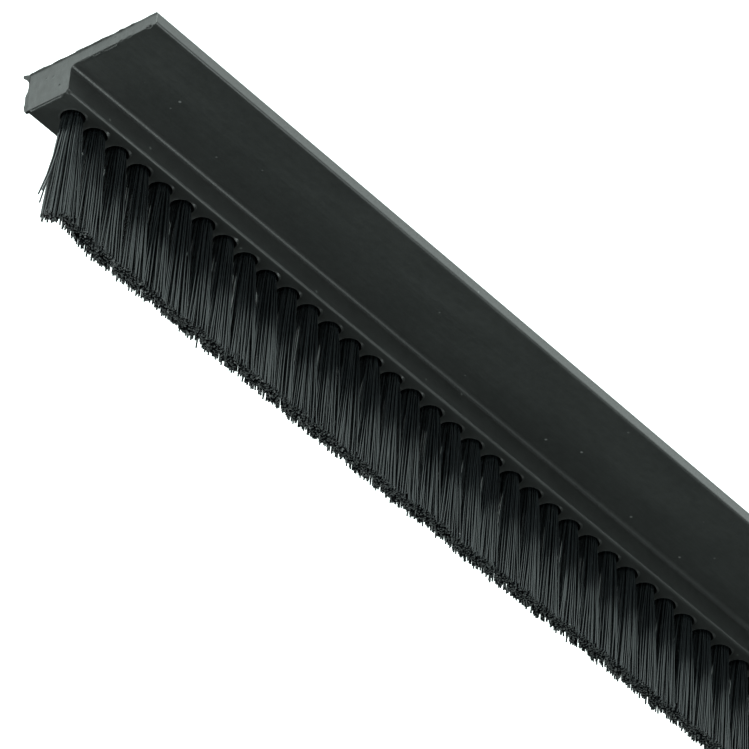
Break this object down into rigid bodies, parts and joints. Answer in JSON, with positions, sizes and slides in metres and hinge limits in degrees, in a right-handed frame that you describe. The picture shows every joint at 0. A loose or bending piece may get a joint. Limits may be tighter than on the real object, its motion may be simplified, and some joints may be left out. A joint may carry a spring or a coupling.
{
  "type": "brush seal strip",
  "caption": "Stapled brush seal strip: a black L-section plastic extrusion with a block, a thin fixing flange and one row of filament tufts along the block.",
  "frame": {"origin": "middle of the flat back face, at the lowest point of the strip", "axes": "+X along the strip, +Y from the tuft row towards the flange's free edge, +Z out of the back face along the tufts"},
  "size_m": [0.25, 0.025, 0.0272],
  "materials": {
    "black_plastic": "semi-gloss as extruded, sawn ends",
    "filament": "glossy nylon filament, 0.3 mm",
    "anchor_steel": "galvanised flat wire"
  },
  "bodies": {
    "root": {"extruded_profile": "black_plastic", "anchor_wires": "anchor_steel", "tuft_01": "filament", "tuft_02": "filament", "tuft_03": "filament", "tuft_04": "filament", "tuft_05": "filament", "tuft_06": "filament", "tuft_07": "filament", "tuft_08": "filament", "tuft_09": "filament", "tuft_10": "filament", "tuft_11": "filament", "tuft_12": "filament", "tuft_13": "filament", "tuft_14": "filament", "tuft_15": "filament", "tuft_16": "filament", "tuft_17": "filament", "tuft_18": "filament", "tuft_19": "filament", "tuft_20": "filament", "tuft_21": "filament", "tuft_22": "filament", "tuft_23": "filament", "tuft_24": "filament", "tuft_25": "filament", "tuft_26": "filament", "tuft_27": "filament", "tuft_28": "filament", "tuft_29": "filament", "tuft_30": "filament", "tuft_31": "filament", "tuft_32": "filament", "tuft_33": "filament", "tuft_34": "filament", "tuft_35": "filament", "tuft_36": "filament", "tuft_37": "filament", "tuft_38": "filament", "tuft_39": "filament", "tuft_40": "filament", "tuft_41": "filament", "tuft_42": "filament", "tuft_43": "filament", "tuft_44": "filament", "tuft_45": "filament", "tuft_46": "filament", "tuft_47": "filament", "tuft_48": "filament", "tuft_49": "filament"}
  },
  "joints": []
}
